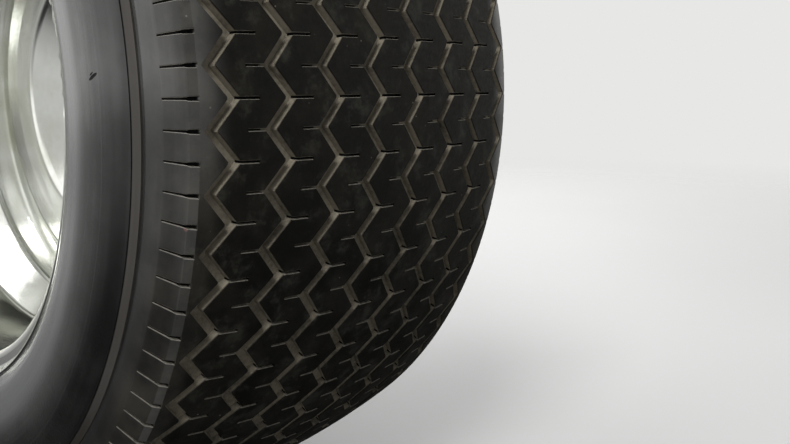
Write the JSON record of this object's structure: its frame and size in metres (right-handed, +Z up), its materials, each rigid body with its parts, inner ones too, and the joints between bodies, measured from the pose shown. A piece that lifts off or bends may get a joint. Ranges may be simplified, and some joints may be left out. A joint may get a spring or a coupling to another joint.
{
  "type": "rear wheel with drum brake and axle end",
  "caption": "Wide rear wheel and tyre on a chrome deep-dish rim, with a drum brake, splined axle shaft and short stub of axle housing that it turns in.",
  "frame": {"origin": "on the wheel's axis, at the middle of the axle tube", "axes": "+X forward, +Z up, -Y outboard towards the wheel's outer face"},
  "size_m": [0.66, 0.5668, 0.6599],
  "materials": {
    "tyre_rubber": "dressed gloss on the sidewall, worn matte tread with dust in the grooves",
    "rim_chrome": "bright chrome plate",
    "nut_chrome": "bright chrome plate",
    "plated_steel": "dull zinc plate",
    "valve_rubber": "black rubber with a plated tip",
    "drum_iron": "cast iron with light rust",
    "machined_steel": "turned steel with an oil film",
    "housing_paint": "black chassis paint, dusty",
    "plate_paint": "satin black paint, dusty",
    "cylinder_iron": "bare casting",
    "plug_rubber": "black rubber"
  },
  "bodies": {
    "axle_end": {"axle_tube": "housing_paint", "housing_end": "housing_paint", "wheel_bearing": "machined_steel", "backing_plate": "plate_paint", "flange_bolts": "plated_steel", "wheel_cylinder": "cylinder_iron", "bleeder_screw": "plated_steel", "adjuster_plug": "plug_rubber"},
    "wheel": {"tyre": "tyre_rubber", "rim": "rim_chrome", "wheel_disc": "rim_chrome", "hub_cap": "rim_chrome", "lug_nuts": "nut_chrome", "wheel_studs": "plated_steel", "valve_stem": "valve_rubber", "brake_drum": "drum_iron", "axle_shaft": "machined_steel"}
  },
  "joints": [
    {"name": "wheel_spin", "type": "hinge", "parent": "axle_end", "child": "wheel", "pos_m": [0, -0.2387, 0], "axis": [0, 1, 0], "continuous": true}
  ]
}
